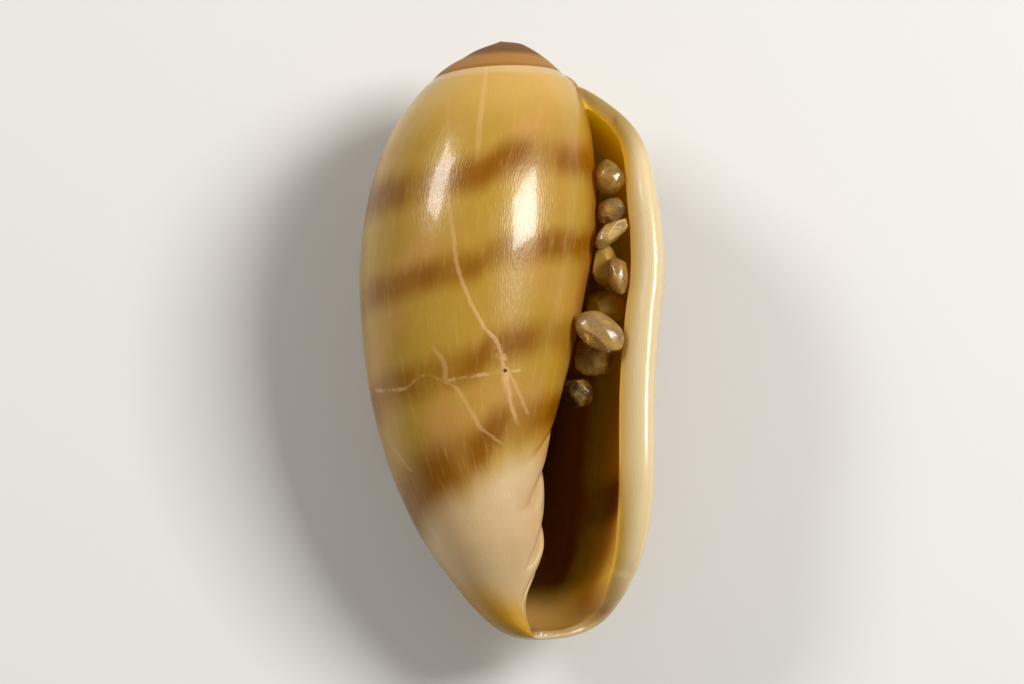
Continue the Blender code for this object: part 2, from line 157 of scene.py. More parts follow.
# The seal's width as a share, for each millimetre of the wall at this height, and the share down
# to which the rows of the inside are lowered to meet it.
SEAL_PER_THICKNESS = 0.2
SEAL_WALL_HEIGHT = 7.6
LOWERED_SHARE = 0.3

# How far a spire band bulges up and outward, how far from the axis it does so in full, and the
# height whose turn the whole spire takes.
BAND_BULGE = 0.02
FULL_BULGE_RADIUS = 0.4
SPIRE_TURN_HEIGHT = 7.9

# Directions on the surface are read over this step, no nearer its ends than these shares.
SMALL_STEP = 1e-3
READABLE_SHARES = (0.002, 0.9995)

# The two ends of the columella's tip: outside, and inside where the rim and the floor meet it.
# The rows come down from the inner one to the outer one over these whorls.
OUTER_TIP = (0.17, 0.0, 0.0)
INNER_TIP = (0.11, 0.05, 0.13)
TIP_LIFT_WHORLS = (-1.0, -0.88)

# The flat spot under the back, the frame of the laid-down shell, and how far colour bands sink in
# one whorl, by height.
FLAT_SPOT_DEPTH = 0.06
BACK_REACH = 1.99
MIDDLE = (0.041, 4.25)
BAND_SINK = ((0.0, 3.0), (2.0, 2.6), (3.2, 1.9), (4.2, 1.45), (5.4, 1.2), (6.8, 0.8), (7.9, 0.2))

# Grains: node, tint, how frosted the skin is, how cloudy the stone is.
GRAINS = (
    ("sand_grain_round", (204, 166, 80), 0.25, 0.5),
    ("sand_grain_grey", (196, 164, 112), 0.3, 0.6),
    ("sand_grain_sliver", (204, 168, 100), 0.35, 0.75),
    # The yellow and amber tints are the grains' own colour, raised as painted light where they lie in
    # shade.
    ("sand_grain_yellow", (255, 226, 104), 0.25, 0.75),
    ("sand_grain_pink", (198, 154, 98), 0.3, 0.65),
    ("sand_grain_amber", (255, 218, 30), 0.25, 0.8),
    ("sand_grain_oval", (206, 174, 132), 0.3, 0.65),
    ("sand_grain_dark", (190, 148, 30), 0.25, 0.6),
    ("sand_grain_brown", (96, 56, 6), 0.3, 0.55),
)
GRAIN_LEVELS = 3
ABSORPTION_PER_MM = 1.2

# The worn flats of a grain, their distance as a share of its reach, the angle from which the edge
# between two faces is sharp, and how near to each other two vertices become one.
FLATS_PER_GRAIN = 5
FLAT_REACH = (0.72, 0.9)
SHARP_ANGLE = 30.0
WELD_DISTANCE = 0.001

# The view of the photograph: which way the camera looks down, and the picture's scale.
VIEW_ELEVATION = 78.0
VIEW_ROLL = 2.19
AIM = (0.0, 0.0, 4.198)
FIELD_WIDTH = 14.24
LENS = 400.0
SENSOR_WIDTH = 36.0
NEAREST_SEEN = 5.0
FARTHEST_SEEN = 5000.0

# Soft boxes: name, degrees right of and above the camera, width and height, power in watts.
SOFTBOXES = (
    ("key", 42, 20, (30, 36), 0.076),
    ("second", -52, 35, (30, 22), 0.034),
)
SOFTBOX_DISTANCE = 90.0
ROOM_STRENGTH = 0.24
FLOOR_HALF_SIDE = 600.0
FLOOR_ROUGHNESS = 0.8


def srgb(red, green, blue):
    """A colour given as screen values from 0 to 255, as the linear values that a shader takes."""
    linear = []
    for value in (red / 255, green / 255, blue / 255):
        linear.append(value / 12.92 if value <= 0.04045 else ((value + 0.055) / 1.055) ** 2.4)
    return (*linear, 1.0)


# Colours of the shell, from the outside in, of the grains, and of the studio.
OCHRE = srgb(173, 138, 66)
OLIVE = srgb(168, 135, 50)
PALE_TAN = srgb(198, 162, 94)
ROSE_TAN = srgb(186, 136, 84)
BAND_BROWN = srgb(132, 84, 0)
# Partly a brown band and partly painted shade, low on the left side where the light falls off.
LOW_BROWN_AND_SHADE = srgb(100, 58, 4)
CALLUS = srgb(196, 170, 130)
CALLUS_ROSE = srgb(192, 163, 124)
TIP_OCHRE = srgb(178, 134, 22)
SPIRE_BROWN = srgb(112, 70, 14)
SPIRE_TAN = srgb(158, 114, 58)
SUTURE_PALE = srgb(204, 170, 126)
LIP_CREAM = srgb(204, 184, 144)
LIP_YELLOW = srgb(204, 172, 104)
LIP_TOP = srgb(152, 126, 74)
CREASE_ORANGE = srgb(158, 96, 22)
# Painted glow: gold that stands for light coming through the thin wall under the top of the aperture.
INSIDE_GOLD_GLOW = srgb(252, 204, 44)
# The inside's own amber near the lip, brightened as painted glow of light coming through the thin wall.
INSIDE_AMBER_AND_GLOW = srgb(246, 196, 92)
# The inside's own brown, darkened as painted shade where little light reaches deep in.
INSIDE_BROWN_AND_SHADE = srgb(46, 27, 8)
FLOOR_ROSE = srgb(158, 126, 82)
FUNNEL_OLIVE = srgb(168, 138, 62)
TOP_GLOW = srgb(214, 172, 60)
SCAR_WHITE = srgb(214, 174, 132)
PIT_DARK = srgb(90, 60, 40)
QUARTZ_MILK = srgb(204, 168, 88)
ROOM_WHITE = srgb(240, 237, 230)
FLOOR_GREY = srgb(206, 204, 200)

# Where the shell's colours change. Each pair is where a change begins and where it is complete:
# levels by colour band, rows by height at the aperture's edge, growth in whorls, and inward as
# Corner has it. A dict is for a change that needs all of its pairs.
SHOULDER_LEVELS = (7.0, 7.8)
# The lower left, where brown is partly a band and partly painted shade on the side the light falls off.
LOW_LEVELS = (3.6, 3.1)
LEFT_SIDE_GROWTH = (-0.78, -0.66)
CALLUS_LEVELS = (2.98, 2.5)
TIP_ROWS = (1.6, 0.35)
TIP_GROWTH = (-0.92, -0.68)
CREASE = dict(growth=(-0.95, -0.99), row=(3.0, 5.0))
SUTURE_LINE = dict(row=(7.8, 7.86), growth=(-1.02, -1.0))
SPIRE_GROWTH = (-1.0, -1.35)
SPIRE_TOP_ROWS = (8.13, 8.25)
SPIRE_FOOT_ROWS = (8.02, 7.97)
# Painted shade: the columella inside the aperture takes the deep brown.
SHADED_COLUMELLA = dict(growth=(-1.0, -1.08), row=(7.75, 7.6))
VARIX = dict(growth=(-0.07, -0.03), row=(7.8, 7.5))
LIP_INWARD = (0.0, 0.12)
LIP_YELLOW_INWARD = (0.35, 0.8)
LIP_TOP_ROWS = (6.5, 7.4)
LIP_GLOW = dict(row=(5.9, 6.9), inward=(0.3, 0.85))
FUNNEL = dict(row=(2.4, 1.3), inward=(0.25, 0.9))
FOOT_ROWS = (1.1, 0.2)
FOOT_INWARD = (0.1, 0.6)
INSIDE_INWARD = (0.66, 1.04)
# Painted glow under the top of the aperture, where light comes through the thin wall.
THIN_TOP_GLOW = dict(row=(6.0, 7.2), inward=(1.12, 1.04))
DEEP_INWARD = (1.03, 1.17)
FLOOR_ROWS = (0.9, 0.3)
DULL_ROWS = (5.8, 6.6)
DULL_GROWTH = (-1.0, -1.2)
THIN_INWARD = (0.5, 1.0)

# An orange band inside: its row, and how far from it the band begins and is complete.
ORANGE_ROW = 2.0
ORANGE_REACH = (0.5, 0.1)

# A fine line where growth once paused: whorls before the lip at the tip, how much nearer the lip
# for each millimetre up, half width where it begins and is complete, and rows.
PAUSE_BEFORE_LIP = 0.882
PAUSE_LEAN = 0.018
PAUSE_HALF_WIDTH = (0.006, 0.002)
PAUSE_ROWS = (6.2, 7.2)

# Noise that is drawn out along the growth lines: units in a whorl, and in a millimetre.
FLOW = (12.0, 0.25)
PATCHES = (9.0, 0.5)

# Relief that only catches the light: its height, the cracks and the pit as shares of it, and the
# height of the grains' relief.
RELIEF_HEIGHT = 0.006
SCAR_RELIEF = 0.7
PIT_RELIEF = 3.0
GRAIN_RELIEF_HEIGHT = 0.01

# Brown bands: level, half width, strength. The level is the height at the aperture's edge. The
# edge is where a band begins and is complete, in half widths. The level drifts over BAND_DRIFT.
BANDS = ((6.65, 0.28, 1.0), (5.42, 0.24, 0.95), (4.19, 0.24, 0.95), (3.17, 0.28, 1.0))
BAND_EDGE = (1.5, 0.15)
BAND_DRIFT = 0.14

# How far the bands step aside where growth once paused: growth from the lip, shift of the level.
GROWTH_PAUSE = ((-1.0, 0.0), (-0.81, 0.0), (-0.77, -0.13), (-0.7, -0.15), (-0.64, -0.1), (-0.55, 0.0))

# Healed cracks, as places in the view's plane in millimetres from the part's origin. Each is a
# list of (along, across) points, where along is up the view, or to the right for CROSS_SCAR. The
# pit's place is (to the right, up).
LONG_SCAR = (
    (-0.87, 0.06), (-0.45, -0.08), (-0.26, -0.11), (0.0, -0.165), (0.31, -0.25), (0.57, -0.45),
    (1.05, -0.69), (1.41, -0.81), (1.87, -0.87), (2.31, -0.925), (3.85, -0.93),
)
CROSS_SCAR = (
    (-2.0, -0.33), (-1.56, -0.3), (-1.38, -0.18), (-1.23, -0.11), (-0.97, -0.175), (-0.63, -0.13),
    (-0.33, -0.08), (0.03, -0.05), (0.11, 0.0), (0.15, 0.18),
)
SIDE_SCAR = (
    (-1.09, -0.15), (-0.96, -0.33), (-0.81, -0.51), (-0.55, -0.66), (-0.27, -0.84),
    (-0.2, -0.965), (-0.02, -0.98), (0.155, -1.05), (0.3, -1.2),
)
FORK_SCAR = ((-0.66, 0.17), (-0.33, 0.03), (-0.18, -0.04), (-0.05, -0.12))
LEFT_SCAR = ((-1.45, -1.44), (-1.3, -1.56), (-1.12, -1.69))
PIT = (-0.15, -0.05)
PIT_RADIUS = 0.035
SCAR_JITTER = 0.05

# The long crack fades up the view and is wide near the pit. All lie on the front, outside.
LONG_SCAR_FADE = (3.2, 0.4)
WIDE_SCAR_TOP = (0.5, 0.1)
WIDE_SCAR_FOOT = (-0.5, -0.2)
FRONT = dict(height=(0.9, 1.3), inward=(0.02, 0.0), growth=(-0.5, -0.52))


def smooth_curve(points, at):
    """A monotone cubic through POINTS, a list of (position, value), read at the positions AT."""
    points = np.array(sorted(points), float)
    x, y = points[:, 0], points[:, 1]
    step = np.diff(x)
    slope = np.diff(y) / step
    tangent = np.empty_like(y)
    tangent[0], tangent[-1] = slope[0], slope[-1]
    before, after = slope[:-1], slope[1:]
    same_way = before * after > 0
    mean = 3 * (step[1:] + step[:-1])
    first = 2 * step[1:] + step[:-1]
    second = step[1:] + 2 * step[:-1]
    safe_before = np.where(same_way, before, 1.0)
    safe_after = np.where(same_way, after, 1.0)
    tangent[1:-1] = np.where(same_way, mean / (first / safe_before + second / safe_after), 0.0)
    at = np.clip(at, x[0], x[-1])
    i = np.clip(np.searchsorted(x, at, side="right") - 1, 0, len(step) - 1)
    u = (at - x[i]) / step[i]
    return (
        y[i] * (1 + 2 * u) * (1 - u) ** 2
        + tangent[i] * step[i] * u * (1 - u) ** 2
        + y[i + 1] * u * u * (3 - 2 * u)
        + tangent[i + 1] * step[i] * u * u * (u - 1)
    )


def smooth_step(low, high, at):
    """0 up to LOW, 1 from HIGH on, and a smooth rise between them."""
    u = np.clip((at - low) / (high - low), 0, 1)
    return u * u * (3 - 2 * u)


def outline_at(outline, level):
    """The outline read at a share of its height, on a scale that keeps the rounded tip smooth."""
    scaled = [(math.sqrt(height), distance) for height, distance in outline]
    return smooth_curve(scaled, np.sqrt(np.maximum(level * outline[0][0], 0)))


def lip_turn_at(height):
    """How far past the right-hand side the lip ends at a height, in degrees."""
    return smooth_curve(LIP_TURN, height)


def spiral_through(parietal, left, lip, lip_angle):
    """The spiral x = pole + radius * growth ** whorls * cos(angle) through three outlines."""
    low = np.full_like(parietal, GROWTH_RANGE[0])
    high = np.full_like(parietal, GROWTH_RANGE[1])
    turn = lip_angle / 360
    for _ in range(GROWTH_HALVINGS):
        growth = np.sqrt(low * high)
        radius = (parietal + left) / (1 + np.sqrt(growth))
        pole = parietal - radius
        reach = pole + radius * growth**turn * np.cos(2 * math.pi * turn)
        high = np.where(reach > lip, growth, high)
        low = np.where(reach > lip, low, growth)
    return pole, radius, growth


def groove_depth(height):
    """How far the columella's surface is cut in at a row that has this height at the edge."""
    ends = GROOVE_HEIGHTS[1:] + (LAST_PLAIT_END,)
    last_depths = GROOVE_DEPTHS[1:] + (0.0,)
    depth = np.zeros_like(height)
    for top, end, above, below in zip(GROOVE_HEIGHTS, ends, GROOVE_DEPTHS, last_depths):
        down = np.clip((top - height) / (top - end), 0, 1)
        valley = above * (1 - down) + below * down
        cut = valley * (1 - np.sin(math.pi * down**GROOVE_LEAN)) ** GROOVE_SHARPNESS
        inside = (height <= top) & (height >= end)
        depth = np.where(inside, cut, depth)
    above_top = (height - GROOVE_HEIGHTS[0]) / GROOVE_LEAD
    lead = GROOVE_DEPTHS[0] * np.clip(1 - above_top, 0, 1) ** 2
    return np.where(height > GROOVE_HEIGHTS[0], lead, depth)


def row_height(whorl, share):
    """Height of a row at the edge of the aperture, for a share of the way from suture to tip."""
    return smooth_curve(SUTURE_HEIGHT, whorl) * (1 - share)


def plait_shift(whorl, row):
    """How much lower a row runs at this whorl because the rows follow the plaits."""
    past_edge = whorl + 1
    drop = PLAIT_DROP_LIMIT * np.tanh(PLAIT_DROP * past_edge / PLAIT_DROP_LIMIT)
    near_front = 1 - smooth_step(*PLAIT_WHORLS, whorl)
    above_foot = np.clip((row - PLAIT_FOOT) / PLAIT_FOOT_REACH, 0, 1)
    window = above_foot * (1 - smooth_step(*PLAIT_TOP, row))
    return drop * near_front * window


def tip_lift(whorl, height):
    """How much the rows inside the aperture end above the tip, to leave room for the rim."""
    covered = 1 - smooth_step(*TIP_LIFT_WHORLS, whorl)
    return INNER_TIP[2] * covered * np.clip(1 - height, 0, 1)


def body_point(whorl, share):
    """Points of the outside of the last whorl and of the whorl under it."""
    whorl, share = np.broadcast_arrays(np.asarray(whorl, float), np.asarray(share, float))
    row = row_height(whorl, share)
    height = row - plait_shift(whorl, row)
    height = height + tip_lift(whorl, height)
    level = height / smooth_curve(SUTURE_HEIGHT, whorl)
    lip_angle = 360 + np.minimum(lip_turn_at(height), 0)
    outlines = [outline_at(line, level) for line in (PARIETAL_OUTLINE, LEFT_OUTLINE, LIP_OUTLINE)]
    pole, radius, growth = spiral_through(*outlines, lip_angle)
    angle = 360 * (whorl + 1) + lip_turn_at(height)
    reach = radius * growth ** (angle / 360)
    fade = 1 - smooth_step(*PLAIT_FADE, angle)
    reach = reach - groove_depth(row) * fade * (whorl < LAST_GROOVED_WHORL)
    turn = np.radians(angle)
    x = pole + reach * np.cos(turn)
    y = -BACK_FLATTENING * reach * np.sin(turn)
    return np.stack([x, y, height], axis=-1)


def suture_point(whorl):
    """A point of the line where a whorl meets the one before it."""
    if whorl >= -1:
        return body_point(whorl, 0.0)
    radius = smooth_curve(SUTURE_RADIUS, whorl)
    height = smooth_curve(SUTURE_HEIGHT, whorl)
    turn = math.radians(360 * (whorl + 1) + lip_turn_at(SPIRE_TURN_HEIGHT))
    x = radius * math.cos(turn)
    y = -BACK_FLATTENING * radius * math.sin(turn)
    return np.array([x, y, float(height)])


def spire_point(whorl, share):
    """Points of a spire band, a share of the way from its suture to the next one."""
    upper = suture_point(whorl)
    lower = suture_point(whorl + 1)
    point = upper * (1 - share) + lower * share
    outward = np.array([point[0], point[1], 0.0])
    length = math.hypot(point[0], point[1])
    slope = np.array([0.0, 0.0, 1.0]) + outward / max(length, 1e-6)
    fullness = min(1.0, length / FULL_BULGE_RADIUS)
    return point + slope * BAND_BULGE * 4 * share * (1 - share) * fullness


def near_lip(whorl):
    """1 at the lip, falling to nearly 0 a sixth of a whorl away."""
    return np.exp(-((whorl / LIP_TAPER) ** 2))


def thickness_at(whorl, height):
    """Thickness of the wall, which swells towards the lip."""
    lip = smooth_curve(LIP_THICKNESS, height)
    wall = np.minimum(lip, WALL_THICKNESS)
    return wall + (lip - wall) * near_lip(whorl)


def seal_shares(whorl):
    """Shares at which the band that the next whorl seals to begins and ends."""
    below = smooth_curve(SUTURE_HEIGHT, whorl + 1) / smooth_curve(SUTURE_HEIGHT, whorl)
    top_thickness = thickness_at(np.minimum(whorl + 1, 0.0), SEAL_WALL_HEIGHT)
    return 1 - below, 1 - below + SEAL_PER_THICKNESS * top_thickness


def fine_heights():
    """BODY_HEIGHTS with every stretch cut into equal steps."""
    stretches = len(BODY_HEIGHTS) - 1
    places = np.linspace(0, stretches, stretches * CUTS_PER_STRETCH + 1)
    return np.interp(places, np.arange(stretches + 1), BODY_HEIGHTS)


def row_shares(whorl):
    """The share of every row of one column, from the suture to the tip."""
    start, end = seal_shares(whorl)
    top = PARIETAL_OUTLINE[0][0]
    spire = np.linspace(0, start, SPIRE_ROWS + 1)[:-1]
    seal = np.linspace(start, end, SEAL_ROWS + 1)
    body = 1 - fine_heights() / top
    return np.concatenate([spire, seal, body])


def inward_offsets(whorls, shares):
    """Unit normals of the outside, pointing into the wall."""
    readable = np.clip(shares, *READABLE_SHARES)
    along = body_point(whorls[:, None] + SMALL_STEP, readable)
    along = along - body_point(whorls[:, None] - SMALL_STEP, readable)
    down = body_point(whorls[:, None], readable + SMALL_STEP / 4)
    down = down - body_point(whorls[:, None], readable - SMALL_STEP / 4)
    normal = np.cross(down, along)
    return normal / np.linalg.norm(normal, axis=-1, keepdims=True)


def inside_grid(whorls):
    """Points of the inside of the last whorl, offset from its outside by the wall thickness."""
    shares = np.array([row_shares(whorl) for whorl in whorls])
    seal_start, seal_end = seal_shares(whorls - 1)
    drop = 0.5 * (seal_end - seal_start)[:, None]
    lowered = shares + drop * np.clip(1 - shares / LOWERED_SHARE, 0, 1)
    outside = body_point(whorls[:, None], lowered)
    offset = inward_offsets(whorls, lowered)
    thick = thickness_at(whorls[:, None], outside[..., 2])
    room = np.linalg.norm(outside - body_point(whorls[:, None] - 1, lowered), axis=-1)
    most = ROOM_SHARE_DEEP + (ROOM_SHARE_LIP - ROOM_SHARE_DEEP) * near_lip(whorls[:, None])
    return outside + offset * np.minimum(thick, most * room)[..., None]


# A corner of a face: its vertex, and where on the shell it is. Inward is 0 outside, rises to 1
# across the lip, and goes on by 1 for each whorl that the inside is deep.
Corner = namedtuple("Corner", "vertex growth row inward")


class Skin:
    """Vertices and faces of the shell's one closed surface."""

    def __init__(self):
        self.points = []
        self.faces = []

    def corner(self, point, growth=0.0, row=0.0, inward=0.0):
        self.points.append(tuple(point))
        return Corner(len(self.points) - 1, growth, row, inward)

    def face(self, *corners):
        kept = [c for i, c in enumerate(corners) if c.vertex != corners[i - 1].vertex]
        if len({c.vertex for c in kept}) > 2:
            self.faces.append(kept)


# The layout of the mesh: every column's whorl, the last column, the columns at which the last
# whorl, the hollow and the stretch that it covers begin, and the rows below the seal and at the tip.
Plan = namedtuple("Plan", "whorls total body_start cavity_start covered_start seal_row last_row")


def mesh_plan():
    """The layout of the shell's mesh, from the apex at column 0 to the lip."""
    total = round(-FIRST_WHORL * COLUMNS_PER_WHORL)
    body_start = total - COLUMNS_PER_WHORL
    seal_row = SPIRE_ROWS + SEAL_ROWS
    return Plan(
        whorls=np.arange(-total, 1) / COLUMNS_PER_WHORL,
        total=total,
        body_start=body_start,
        cavity_start=total - CAVITY_COLUMNS,
        covered_start=body_start - CAVITY_COLUMNS,
        seal_row=seal_row,
        last_row=seal_row + len(fine_heights()),
    )


def spire_columns(skin, plan, apex):
    """The rows of the spire, whorl by whorl, each starting on the last row of the one before."""
    rows = [[apex] * (SPIRE_ROWS + 1)]
    for column in range(1, plan.body_start):
        started = column > COLUMNS_PER_WHORL
        first = rows[column - COLUMNS_PER_WHORL][SPIRE_ROWS] if started else apex
        whorl = plan.whorls[column]
        line = [first._replace(growth=whorl)]
        for row in range(1, SPIRE_ROWS + 1):
            point = spire_point(whorl, row / SPIRE_ROWS)
            line.append(skin.corner(point, whorl, point[2]))
        rows.append(line)
    return rows


def outside_corners(skin, plan, shares, levels, tips):
    """The outside by column and row: the spire, the last whorl and the stretch that it covers."""
    apex, outer_tip, inner_tip = tips
    outer = {}
    for column, line in enumerate(spire_columns(skin, plan, apex)):
        for row, corner in enumerate(line):
            outer[column, row] = corner
    grid = body_point(plan.whorls[plan.covered_start:, None], shares)
    for column in range(plan.covered_start, plan.total + 1):
        whorl = plan.whorls[column]
        place = column - plan.covered_start
        first = 0 if column >= plan.body_start else plan.seal_row
        for row in range(first, plan.last_row):
            if row == 0:
                shared = outer[column - COLUMNS_PER_WHORL, SPIRE_ROWS]
                outer[column, row] = shared._replace(growth=whorl)
            else:
                outer[column, row] = skin.corner(grid[place, row], whorl, levels[place, row])
        tip = outer_tip if column >= plan.body_start else inner_tip
        outer[column, plan.last_row] = tip._replace(growth=whorl)
    return outer


def inside_corners(skin, plan, levels, outer, inner_tip):
    """The inside by column and row, from where it is sealed to the whorl before, to the tip."""
    grid = inside_grid(plan.whorls[plan.cavity_start:])
    inner = {}
    for column in range(plan.cavity_start, plan.total + 1):
        whorl = plan.whorls[column]
        inward = 1 - whorl
        points = grid[column - plan.cavity_start]
        heights = levels[column - plan.covered_start]
        shared = outer[column - COLUMNS_PER_WHORL, plan.seal_row]
        inner[column, 0] = shared._replace(growth=whorl, inward=inward)
        for row in range(1, plan.last_row):
            inner[column, row] = skin.corner(points[row], whorl, heights[row], inward)
        inner[column, plan.last_row] = inner_tip._replace(growth=whorl, inward=inward)
    return inner


def build_shell_skin():
    """The shell as one closed skin: spire, last whorl, lip, inside and columella."""
    skin = Skin()
    plan = mesh_plan()
    apex = skin.corner((0, 0, SUTURE_HEIGHT[0][1]), plan.whorls[0], SUTURE_HEIGHT[0][1])
    outer_tip = skin.corner(OUTER_TIP)
    inner_tip = skin.corner(INNER_TIP)

    last_whorls = plan.whorls[plan.covered_start:]
    shares = np.array([row_shares(whorl) for whorl in last_whorls])
    levels = row_height(last_whorls[:, None], shares)
    outer = outside_corners(skin, plan, shares, levels, (apex, outer_tip, inner_tip))
    inner = inside_corners(skin, plan, levels, outer, inner_tip)
    lip = build_lip(skin, plan, outer, inner)

    join_outside(skin, plan, outer, lip)
    join_inside(skin, plan, inner)
    close_cavity(skin, plan, outer, inner)
    return skin


def lip_directions():
    """The way that the outside runs on past the lip, as a unit vector for every row."""
    edge_whorl = np.array([[0.0]])
    shares = np.minimum(np.array([row_shares(0.0)]), READABLE_SHARES[1])
    ahead = body_point(edge_whorl + SMALL_STEP, shares) - body_point(edge_whorl, shares)
    return (ahead / np.linalg.norm(ahead, axis=-1, keepdims=True))[0]


def lip_point(start, across, ahead, inward, settle):
    """A point of the lip's rounded edge, INWARD being the share of the way across it."""
    turn = math.pi * inward**LIP_SKEW
    rise = math.sin(turn) * (1 + LIP_CREST * settle * math.cos(turn))
    place = start + across * (1 - math.cos(turn)) / 2
    return place + ahead * LIP_BULGE * np.linalg.norm(across) * rise * settle


def build_lip(skin, plan, outer, inner):
    """The rounded edge of the lip, from the outside to the inside."""
    ahead = lip_directions()
    lip = {}
    for row in range(plan.last_row + 1):
        first, last = outer[plan.total, row], inner[plan.total, row]
        start = np.array(skin.points[first.vertex])
        across = np.array(skin.points[last.vertex]) - start
        settle = min(1.0, row / SETTLE_ROWS[0], (plan.last_row - row) / SETTLE_ROWS[1])
        lip[0, row], lip[SEAL_ROWS, row] = first, last
        for k in range(1, SEAL_ROWS):
            inward = k / SEAL_ROWS
            if row == 0:
                shared = outer[plan.body_start, SPIRE_ROWS + k]
                lip[k, row] = shared._replace(growth=0.0, inward=inward)
            else:
                place = lip_point(start, across, ahead[row], inward, settle)
                lip[k, row] = skin.corner(place, 0.0, first.row, inward)
    for row in range(plan.last_row):
        for k in range(SEAL_ROWS):
            skin.face(lip[k, row], lip[k + 1, row], lip[k + 1, row + 1], lip[k, row + 1])
    return lip


def join_outside(skin, plan, outer, lip):
    """Faces of the spire, the last whorl and the columella inside the aperture."""
    for column in range(plan.total):
        for row in range(plan.last_row):
            if SPIRE_ROWS <= row < plan.seal_row and column < plan.body_start:
                continue
            if row >= plan.seal_row and column < plan.covered_start:
                continue
            corners = [outer[column, row], outer[column, row + 1]]
            # The last face before the last whorl takes in the foot of the lip.
            if row == plan.last_row - 1 and column == plan.body_start - 1:
                corners += [lip[k, plan.last_row] for k in range(SEAL_ROWS, 0, -1)]
            corners += [outer[column + 1, row + 1], outer[column + 1, row]]
            skin.face(*corners)


def join_inside(skin, plan, inner):
    """Faces of the inside of the last whorl."""
    for column in range(plan.cavity_start, plan.total):
        for row in range(plan.last_row):
            skin.face(
                inner[column, row], inner[column + 1, row],
                inner[column + 1, row + 1], inner[column, row + 1],
            )


def close_cavity(skin, plan, outer, inner):
    """The wall that ends the hollow deep inside, out of sight."""
    start, covered = plan.cavity_start, plan.covered_start
    for row in range(1, plan.seal_row):
        skin.face(inner[start, 0], inner[start, row], inner[start, row + 1])
    for row in range(plan.seal_row, plan.last_row):
        skin.face(
            outer[covered, row], inner[start, row],
            inner[start, row + 1], outer[covered, row + 1],
        )


def laid_down(points):
    """Turns points worked out about the coiling axis into the frame of the part, in metres."""
    points = np.array(points, float)
    points[:, 1] = np.minimum(points[:, 1], BACK_REACH - FLAT_SPOT_DEPTH)
    across = points[:, 0] - MIDDLE[0]
    along = points[:, 2] - MIDDLE[1]
    up = BACK_REACH - FLAT_SPOT_DEPTH - points[:, 1]
    return np.stack([across, along, up], axis=1) * MM


def fitted_to(points, box):
    """The points, stretched along each axis so that they fill the box of the CAD node exactly."""
    low, high = points.min(0), points.max(0)
    box_low, box_high = np.array(box[0]), np.array(box[1])
    return box_low + (points - low) * (box_high - box_low) / (high - low)


def band_level(height, growth):
    """Height at the aperture's edge of the colour band that passes here."""
    return height + smooth_curve(BAND_SINK, height) * (growth + 1)


def shell_mesh():
    """The fine surface, with what the material reads kept at each corner of each face."""
    skin = build_shell_skin()
    points = fitted_to(laid_down(skin.points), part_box("shell"))
    mesh = bpy.data.meshes.new("shell_surface")
    mesh.from_pydata(points.tolist(), [], [[c.vertex for c in face] for face in skin.faces])
    corners = [corner for face in skin.faces for corner in face]
    heights = np.array(skin.points)[:, 2]
    names = ("growth", "row", "inward")
    values = {name: np.array([getattr(corner, name) for corner in corners]) for name in names}
    values["band"] = band_level(heights[[c.vertex for c in corners]], values["growth"])
    for name, numbers in values.items():
        layer = mesh.attributes.new(name, "FLOAT", "CORNER")
        layer.data.foreach_set("value", numbers.astype(np.float32))
    working = bmesh.new()
    working.from_mesh(mesh)
    bmesh.ops.recalc_face_normals(working, faces=working.faces)
    working.to_mesh(mesh)
    working.free()
    mesh.shade_smooth()
    return mesh


def view_axes():
    """Right, up and back of the photograph's view, in the frame of the part."""
    lean = math.radians(VIEW_ELEVATION)
    back = Vector((0.0, -math.cos(lean), math.sin(lean)))
    level_up = Vector((0.0, math.sin(lean), math.cos(lean)))
    level_right = Vector((1.0, 0.0, 0.0))
    roll = math.radians(VIEW_ROLL)
    up = level_up * math.cos(roll) + level_right * math.sin(roll)
    right = level_right * math.cos(roll) - level_up * math.sin(roll)
    return right, up, back


def aim_point():
    """What the camera and the soft boxes face."""
    return Vector(laid_down([AIM])[0])


def new_object(name, data):
    item = bpy.data.objects.new(name, data)
    bpy.context.scene.collection.objects.link(item)
    return item


def add_camera():
    """The photograph's view: from far away, looking down at a lean, with a slight roll."""
    right, up, back = view_axes()
    data = bpy.data.cameras.new("camera")
    data.lens = LENS
    data.sensor_width = SENSOR_WIDTH
    data.clip_start = NEAREST_SEEN * MM
    data.clip_end = FARTHEST_SEEN * MM
    camera = new_object("camera", data)
    distance = FIELD_WIDTH * MM * LENS / SENSOR_WIDTH
    turn = Matrix((right, up, back)).transposed()
    camera.matrix_world = Matrix.Translation(aim_point() + back * distance) @ turn.to_4x4()
    bpy.context.scene.camera = camera


def add_softbox(name, aside, above, size, power):
    """A soft light seen from the shell at these angles right of and above the camera."""
    right, up, back = view_axes()
    aside, above = math.radians(aside), math.radians(above)
    toward = right * math.sin(aside) + back * math.cos(aside)
    toward = toward * math.cos(above) + up * math.sin(above)
    data = bpy.data.lights.new(name, "AREA")
    data.shape = "RECTANGLE"
    data.size, data.size_y = size[0] * MM, size[1] * MM
    data.energy = power
    light = new_object(name, data)
    light.location = aim_point() + toward * SOFTBOX_DISTANCE * MM
    light.rotation_euler = toward.to_track_quat("Z", "Y").to_euler()


def add_world():
    world = bpy.data.worlds.new("studio")
    world.use_nodes = True
    background = world.node_tree.nodes["Background"]
    background.inputs["Color"].default_value = ROOM_WHITE
    background.inputs["Strength"].default_value = ROOM_STRENGTH
    bpy.context.scene.world = world


def add_floor():
    mesh = bpy.data.meshes.new("floor")
    half = FLOOR_HALF_SIDE * MM
    corners = [(-half, -half, 0), (half, -half, 0), (half, half, 0), (-half, half, 0)]
    mesh.from_pydata(corners, [], [(0, 1, 2, 3)])
    g = Graph("pale_floor")
    g.set_shader(Base_Color=FLOOR_GREY, Roughness=FLOOR_ROUGHNESS)
    mesh.materials.append(g.material)
    floor = new_object("floor", mesh)


